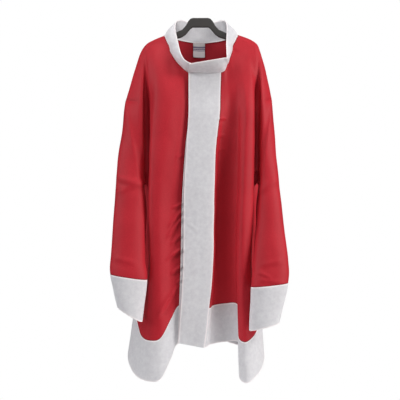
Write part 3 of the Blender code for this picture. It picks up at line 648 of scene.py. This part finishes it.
def shell(name, outer, inner, uv, wrap, painted_highlight_and_shade=None):
    """A closed mesh between two grids of matching points. The UVs have one more column than the points.

    The last argument, where given, says how far each point belongs to the painted line along an edge, a
    painted highlight on plush and a painted shade on red cloth, for the materials.
    """
    rows, columns = outer.shape[:2]
    count = rows * columns
    around = columns if wrap else columns - 1
    r, c = (a.ravel() for a in np.meshgrid(np.arange(rows - 1), np.arange(around), indexing="ij"))
    n = (c + 1) % columns
    here, below = r * columns, (r + 1) * columns
    face = np.stack([here + c, here + n, below + n, below + c], axis=1)
    face_uv = np.stack([uv[r, c], uv[r, c + 1], uv[r + 1, c + 1], uv[r + 1, c]], axis=1)
    across_first = outer[0, 1] - outer[0, 0]
    turned = np.dot(np.cross(outer[1, 0] - outer[0, 0], across_first), outer[0, 0] - inner[0, 0]) < 0
    faces, corner_uvs = [face, face[:, ::-1] + count], [face_uv, face_uv[:, ::-1]]
    if wrap:
        borders = [(face[r == 0][:, [1, 0]], face_uv[r == 0][:, [1, 0]])]
        last = r == rows - 2
        borders += [(face[last][:, [3, 2]], face_uv[last][:, [3, 2]])]
    else:
        borders = []
        sides = ((r == 0, [1, 0]), (r == rows - 2, [3, 2]), (c == 0, [0, 3]), (c == around - 1, [2, 1]))
        for mask, ends in sides:
            borders.append((face[mask][:, ends], face_uv[mask][:, ends]))
    for pair, pair_uv in borders:
        faces.append(np.concatenate([pair, pair[:, ::-1] + count], axis=1))
        corner_uvs.append(np.concatenate([pair_uv, pair_uv[:, ::-1]], axis=1))
    faces, corner_uvs = np.concatenate(faces), np.concatenate(corner_uvs)
    if not turned:
        faces, corner_uvs = faces[:, ::-1], corner_uvs[:, ::-1]
    points = np.concatenate([outer.reshape(-1, 3), inner.reshape(-1, 3)]) * MM
    mesh = bpy.data.meshes.new(name)
    mesh.from_pydata(points.tolist(), [], faces.tolist())
    layer = mesh.uv_layers.new(name="cloth")
    layer.data.foreach_set("uv", corner_uvs.reshape(-1).astype(np.float32))
    # The edge attribute carries the painted highlight and painted shade lines to the materials.
    if painted_highlight_and_shade is not None:
        edge = mesh.attributes.new("edge", "FLOAT", "POINT")
        edge.data.foreach_set("value", np.tile(painted_highlight_and_shade.ravel(), 2).astype(np.float32))
    mesh.shade_smooth()
    mesh.update()
    obj = bpy.data.objects.new(name, mesh)
    bpy.context.scene.collection.objects.link(obj)
    return obj


def dressed(obj, node, finish):
    """Gives a piece its finish, parents it to the root and hides the CAD part that it stands for."""
    obj.data.materials.append(MATERIALS[finish])
    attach(obj, "root")
    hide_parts(node)


def new_material(name):
    """An empty node material with its shader, and a maker of linked nodes."""
    made = bpy.data.materials.new(name)
    made.use_nodes = True
    tree = made.node_tree
    shader = tree.nodes["Principled BSDF"]

    def node(kind, links=(), **settings):
        new = tree.nodes.new(kind)
        for key, value in settings.items():
            if hasattr(new, key):
                setattr(new, key, value)
            else:
                new.inputs[key.replace("_", " ")].default_value = value
        for source, target in links:
            tree.links.new(source, new.inputs[target])
        return new

    return made, shader, node, tree.links


def red_cloth():
    """Smooth suiting: a fine twill with a slight sheen, and red that varies a little over the cloth, with
    painted shade along the plush.
    """
    made, shader, node, links = new_material("red_cloth")
    place = node("ShaderNodeTexCoord")
    spot = [(place.outputs["Object"], "Vector")]
    broad = node("ShaderNodeTexNoise", spot, Scale=9.0, Detail=3.0)
    fine = node("ShaderNodeTexNoise", spot, Scale=420.0, Detail=2.0)
    noises = [(broad.outputs["Fac"], 0), (fine.outputs["Fac"], 1)]
    shade = node("ShaderNodeMath", noises, operation="MULTIPLY")
    colour = node("ShaderNodeValToRGB", [(shade.outputs[0], "Fac")])
    colour.color_ramp.elements[0].position, colour.color_ramp.elements[1].position = 0.1, 0.42
    colour.color_ramp.elements[0].color = (0.45, 0.010, 0.021, 1)
    colour.color_ramp.elements[1].color = (0.55, 0.016, 0.030, 1)
    # Painted shade: the red goes to a near-black red along the lined edges, where the plush standing proud
    # would shade the cloth.
    edge = node("ShaderNodeAttribute", attribute_name="edge")
    shown = node("ShaderNodeMix", data_type="RGBA")
    links.new(edge.outputs["Fac"], shown.inputs["Factor"])
    links.new(colour.outputs["Color"], shown.inputs["A"])
    shown.inputs["B"].default_value = (0.20, 0.004, 0.012, 1)
    links.new(shown.outputs["Result"], shader.inputs["Base Color"])
    uv = node("ShaderNodeUVMap", uv_map="cloth")
    turned = node("ShaderNodeMapping", [(uv.outputs["UV"], "Vector")])
    turned.inputs["Rotation"].default_value = (0, 0, 1.1)
    twill = node("ShaderNodeTexWave", [(turned.outputs["Vector"], "Vector")], Scale=330.0, Distortion=0.6)
    threads = node("ShaderNodeMath", [(twill.outputs["Fac"], 0), (fine.outputs["Fac"], 1)], operation="ADD")
    bump = node("ShaderNodeBump", [(threads.outputs[0], "Height")], Strength=0.35, Distance=0.00012)
    links.new(bump.outputs["Normal"], shader.inputs["Normal"])
    rough = node("ShaderNodeMapRange", [(broad.outputs["Fac"], "Value")], To_Min=0.52, To_Max=0.64)
    links.new(rough.outputs["Result"], shader.inputs["Roughness"])
    shader.inputs["Specular IOR Level"].default_value = 0.28
    shader.inputs["Sheen Weight"].default_value = 0.04
    shader.inputs["Sheen Roughness"].default_value = 0.5
    shader.inputs["Sheen Tint"].default_value = (1.0, 0.55, 0.55, 1)
    return made


def white_plush():
    """Short-piled plush, nearly flat, faintly mottled where the nap lies different ways, with a painted
    highlight along its edges.
    """
    made, shader, node, links = new_material("white_plush")
    place = node("ShaderNodeTexCoord")
    spot = [(place.outputs["Object"], "Vector")]
    mottle = node("ShaderNodeTexNoise", spot, Scale=85.0, Detail=4.0, Roughness=0.6)
    colour = node("ShaderNodeValToRGB", [(mottle.outputs["Fac"], "Fac")])
    colour.color_ramp.elements[0].position, colour.color_ramp.elements[1].position = 0.3, 0.7
    colour.color_ramp.elements[0].color = (0.665, 0.65, 0.68, 1)
    colour.color_ramp.elements[1].color = (0.76, 0.75, 0.77, 1)
    # Painted highlight: the plush pales to pinkish white along its lined edges, at seams and free edges
    # alike.
    edge = node("ShaderNodeAttribute", attribute_name="edge")
    shown = node("ShaderNodeMix", data_type="RGBA")
    links.new(edge.outputs["Fac"], shown.inputs["Factor"])
    links.new(colour.outputs["Color"], shown.inputs["A"])
    shown.inputs["B"].default_value = (1.0, 0.93, 0.94, 1)
    links.new(shown.outputs["Result"], shader.inputs["Base Color"])
    tufts = node("ShaderNodeTexNoise", spot, Scale=520.0, Detail=3.0, Roughness=0.7)
    pile = node("ShaderNodeTexVoronoi", spot, Scale=900.0)
    nap = [(tufts.outputs["Fac"], 0), (pile.outputs["Distance"], 1)]
    raised = node("ShaderNodeMath", nap, operation="ADD")
    raised = node("ShaderNodeMath", [(raised.outputs[0], 0), (mottle.outputs["Fac"], 1)], operation="ADD")
    bump = node("ShaderNodeBump", [(raised.outputs[0], "Height")], Strength=0.5, Distance=0.0006)
    links.new(bump.outputs["Normal"], shader.inputs["Normal"])
    shader.inputs["Roughness"].default_value = 0.95
    shader.inputs["Specular IOR Level"].default_value = 0.2
    shader.inputs["Sheen Weight"].default_value = 0.3
    shader.inputs["Sheen Roughness"].default_value = 0.6
    return made


def label_cloth():
    """Woven satin with plain violet-grey stripes across its upper half."""
    made, shader, node, links = new_material("label_cloth")
    uv = node("ShaderNodeUVMap", uv_map="cloth")
    split = node("ShaderNodeSeparateXYZ", [(uv.outputs["UV"], "Vector")])
    stripes = node("ShaderNodeValToRGB", [])
    height = [(split.outputs["Y"], "Value")]
    down = node("ShaderNodeMapRange", height, From_Min=0.0, From_Max=-LABEL_LENGTH * MM)
    links.new(down.outputs["Result"], stripes.inputs["Fac"])
    ramp = stripes.color_ramp
    ramp.interpolation = "CONSTANT"
    pale, violet = (0.95, 0.90, 0.90, 1), (0.26, 0.22, 0.33, 1)
    ramp.elements[0].color = pale
    ramp.elements[1].position, ramp.elements[1].color = 0.22, violet
    for position, shown in ((0.34, pale), (0.38, violet), (0.46, pale), (0.50, violet), (0.54, pale)):
        ramp.elements.new(position).color = shown
    links.new(stripes.outputs["Color"], shader.inputs["Base Color"])
    weave = node("ShaderNodeTexWave", [(uv.outputs["UV"], "Vector")], Scale=420.0, bands_direction="Y")
    bump = node("ShaderNodeBump", [(weave.outputs["Fac"], "Height")], Strength=0.3, Distance=0.0001)
    links.new(bump.outputs["Normal"], shader.inputs["Normal"])
    shader.inputs["Roughness"].default_value = 0.45
    return made


def hanger_plastic():
    """Dark moulded plastic, faintly grained and scuffed."""
    made, shader, node, links = new_material("hanger_plastic")
    place = node("ShaderNodeTexCoord")
    spot = [(place.outputs["Object"], "Vector")]
    scuffs = node("ShaderNodeTexNoise", spot, Scale=38.0, Detail=6.0)
    grain = node("ShaderNodeTexNoise", spot, Scale=900.0, Detail=2.0)
    colour = node("ShaderNodeValToRGB", [(scuffs.outputs["Fac"], "Fac")])
    colour.color_ramp.elements[0].color = (0.033, 0.030, 0.028, 1)
    colour.color_ramp.elements[1].color = (0.051, 0.046, 0.043, 1)
    links.new(colour.outputs["Color"], shader.inputs["Base Color"])
    rough = node("ShaderNodeMapRange", [(scuffs.outputs["Fac"], "Value")], To_Min=0.38, To_Max=0.55)
    links.new(rough.outputs["Result"], shader.inputs["Roughness"])
    bump = node("ShaderNodeBump", [(grain.outputs["Fac"], "Height")], Strength=0.2, Distance=0.0001)
    links.new(bump.outputs["Normal"], shader.inputs["Normal"])
    return made


MATERIALS = {
    "red_cloth": red_cloth(),
    "white_plush": white_plush(),
    "label_cloth": label_cloth(),
    "hanger_plastic": hanger_plastic(),
}


def make_label(back, normals):
    """The label below the collar's back, hung a little clear of the back's inner face."""
    inner = (back - normals * (RED_WALL + LABEL_CLEARANCE))[:BEHIND_LABEL]
    across_at = np.linspace(LABEL_LEFT, LABEL_RIGHT, LABEL_COLUMNS)
    drop = np.linspace(0, LABEL_LENGTH, LABEL_ROWS)
    grid = np.zeros((LABEL_ROWS, LABEL_COLUMNS, 3))
    for c, x in enumerate(across_at):
        rows = np.array([[np.interp(x, row[:, 0], values) for values in row.T] for row in inner])
        lengths = rows[0, 2] - rows[:, 2]
        for axis in range(3):
            grid[:, c, axis] = np.interp(drop + LABEL_SEWN_BELOW, lengths, rows[:, axis])
    share = (drop / LABEL_LENGTH)[:, None]
    curl = LABEL_LEAN * share + LABEL_WAVE * np.sin(np.linspace(0, LABEL_WAVE_TURN, LABEL_COLUMNS))
    grid[:, :, 1] -= curl * (LABEL_STIFFNESS + (1 - LABEL_STIFFNESS) * share) + LABEL_OFF_TOP
    u, v = np.meshgrid(np.append(across_at, LABEL_RIGHT) * MM, -drop * MM)
    thickness = np.array([0, -LABEL_WALL, 0])
    return shell("label_piece", grid + thickness, grid, np.stack([u, v], axis=2), False)


def make_coat():
    """All the cloth pieces, each with its finish."""
    right, back, left = body_grids()
    right_sleeve, cuff_row = sleeve_grid(RIGHT_SLEEVE)
    left_sleeve, _ = sleeve_grid(LEFT_SLEEVE)
    grids = [right, back, left, right_sleeve, left_sleeve]
    grids = [creased(g, n) for g, n in zip(grids, all_normals(*grids))]
    right, back, left, right_sleeve, left_sleeve = grids
    right_out, back_out, left_out, right_sleeve_out, left_sleeve_out = all_normals(*grids)
    neckline = np.concatenate([right[0], back[0][1:-1], left[0]])
    collar = collar_grid(neckline, neck_places())
    collar_out = face_normals(collar)
    share_collar(collar_out, right_out, back_out, left_out)

    hem = len(right) - 1 - HEM_ROWS
    band = (len(LEFT_FRONT_FOLDS) - 2) * COLUMNS_PER_FOLD
    edge = COLUMNS_PER_FOLD
    fronts_and_back = (
        ("front_right", right[:, edge:], right_out[:, edge:], ("left", "top", "bottom")),
        ("back", back, back_out, ("top", "bottom")),
        ("front_left", left[:, : band + 1], left_out[:, : band + 1], ("right", "top", "bottom")),
    )
    for node, grid, out, lined in fronts_and_back:
        seams = ("left", "right", "top", "bottom")
        red = cloth(f"{node}_cloth", grid[: hem + 1], out[: hem + 1], seams=seams, lined=lined)
        dressed(red, node, "red_cloth")
        hem_piece = cloth(
            f"hem_{node}_plush",
            grid[hem:],
            out[hem:],
            seams=("left", "right", "top"),
            free=("bottom",),
            lined=("top", "bottom"),
            trim=True,
        )
        dressed(hem_piece, f"hem_{node}", "white_plush")
    under_band = cloth(
        "under_band_plush",
        right[:, : edge + 1],
        right_out[:, : edge + 1],
        seams=("top", "right"),
        free=("left", "bottom"),
        lined=("left", "right"),
        trim=True,
    )
    dressed(under_band, "under_band", "white_plush")
    front_band = cloth(
        "front_band_plush",
        left[:, band:],
        left_out[:, band:],
        seams=("top", "left"),
        free=("right", "bottom"),
        lined=("left", "right"),
        trim=True,
    )
    dressed(front_band, "front_band", "white_plush")
    collar_piece = cloth(
        "collar_plush",
        collar,
        collar_out,
        seams=("bottom",),
        free=("top", "left", "right"),
        lined=("top", "bottom"),
        trim=True,
    )
    dressed(collar_piece, "collar", "white_plush")
    sleeves = (("right", right_sleeve, right_sleeve_out), ("left", left_sleeve, left_sleeve_out))
    for side, grid, out in sleeves:
        sleeve = cloth(
            f"sleeve_{side}_cloth",
            grid[: cuff_row + 1],
            out[: cuff_row + 1],
            seams=("top", "bottom"),
            lined=("bottom",),
            wrap=True,
        )
        dressed(sleeve, f"sleeve_{side}", "red_cloth")
        cuff = cloth(
            f"cuff_{side}_plush",
            grid[cuff_row:],
            out[cuff_row:],
            seams=("top",),
            free=("bottom",),
            lined=("top", "bottom"),
            trim=True,
            wrap=True,
        )
        dressed(cuff, f"cuff_{side}", "white_plush")
    dressed(make_label(back, back_out), "label", "label_cloth")


# The studio, in metres and watts
FLOOR_RADIUS, FLOOR_HEIGHT, FLOOR_SIDES = 0.85, -1.35, 96
COAT_MIDDLE = (0, 0, -0.53)
CAMERA_PLACE = (-0.0015, -2.46, -0.53)
WARM, COOL, NEUTRAL = (1, 0.99, 0.975), (0.98, 0.985, 1), (1, 1, 1)
Lamp = namedtuple("Lamp", "name place size power colour")
LAMPS = [
    Lamp("right_top", (2.1, -1.0, 0.5), 1.0, 38, WARM),
    Lamp("right_low", (2.0, -1.0, -1.0), 1.0, 15, WARM),
    Lamp("left", (-2.15, -1.0, -0.2), 1.0, 9, COOL),
    Lamp("left_high", (-1.64, -1.28, 1.03), 1.0, 15, COOL),
    Lamp("far_left", (-2.4, -0.7, 0.3), 1.0, 12, COOL),
    Lamp("top", (0.0, -0.7, 1.9), 1.0, 22, NEUTRAL),
    Lamp("front", (0.1, -2.9, 0.7), 1.0, 7, NEUTRAL),
    Lamp("behind", (0.3, 2.2, 0.6), 1.4, 45, NEUTRAL),
]


def area_light(name, place, size, power, colour):
    """A soft square lamp at a place, turned to the middle of the coat."""
    data = bpy.data.lights.new(name, "AREA")
    data.size = size
    data.energy = power
    data.color = colour
    lamp = bpy.data.objects.new(name, data)
    lamp.location = place
    towards = np.array(COAT_MIDDLE) - np.array(place)
    tilt = np.pi / 2 + np.arctan2(towards[2], np.hypot(towards[0], towards[1]))
    lamp.rotation_euler = (tilt, 0, np.arctan2(-towards[0], towards[1]))
    bpy.context.scene.collection.objects.link(lamp)


def make_studio():
    """The pale floor, the white surroundings, the lamps and the camera."""
    mesh = bpy.data.meshes.new("floor")
    turn = np.linspace(0, 2 * np.pi, FLOOR_SIDES, endpoint=False)
    rim = [(FLOOR_RADIUS * np.cos(t), FLOOR_RADIUS * np.sin(t), FLOOR_HEIGHT) for t in turn]
    mesh.from_pydata(rim, [], [list(range(FLOOR_SIDES))])
    floor = bpy.data.objects.new("floor", mesh)
    bpy.context.scene.collection.objects.link(floor)
    pale = bpy.data.materials.new("floor")
    pale.use_nodes = True
    shader = pale.node_tree.nodes["Principled BSDF"]
    shader.inputs["Base Color"].default_value = (0.86, 0.86, 0.86, 1)
    shader.inputs["Roughness"].default_value = 0.9
    shader.inputs["Emission Color"].default_value = (1, 1, 1, 1)
    shader.inputs["Emission Strength"].default_value = 0.25
    mesh.materials.append(pale)

    world = bpy.data.worlds.new("studio")
    world.use_nodes = True
    nodes, links = world.node_tree.nodes, world.node_tree.links
    seen = nodes["Background"]
    seen.inputs["Color"].default_value = (1, 1, 1, 1)
    seen.inputs["Strength"].default_value = 1.0
    lighting = nodes.new("ShaderNodeBackground")
    lighting.inputs["Color"].default_value = (0.96, 0.97, 1, 1)
    lighting.inputs["Strength"].default_value = 0.05
    path = nodes.new("ShaderNodeLightPath")
    choice = nodes.new("ShaderNodeMixShader")
    links.new(path.outputs["Is Camera Ray"], choice.inputs["Fac"])
    links.new(lighting.outputs[0], choice.inputs[1])
    links.new(seen.outputs[0], choice.inputs[2])
    links.new(choice.outputs[0], nodes["World Output"].inputs["Surface"])
    bpy.context.scene.world = world

    for lamp in LAMPS:
        area_light(*lamp)
    bpy.context.scene.view_settings.view_transform = "Standard"

    camera = bpy.data.objects.new("camera", bpy.data.cameras.new("camera"))
    camera.location = CAMERA_PLACE
    camera.rotation_euler = (np.pi / 2, 0, 0)
    camera.data.lens = 72
    camera.data.sensor_width = 36
    bpy.context.scene.collection.objects.link(camera)
    bpy.context.scene.camera = camera


make_coat()
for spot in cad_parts["hanger"].material_slots:
    spot.material = MATERIALS["hanger_plastic"]
make_studio()
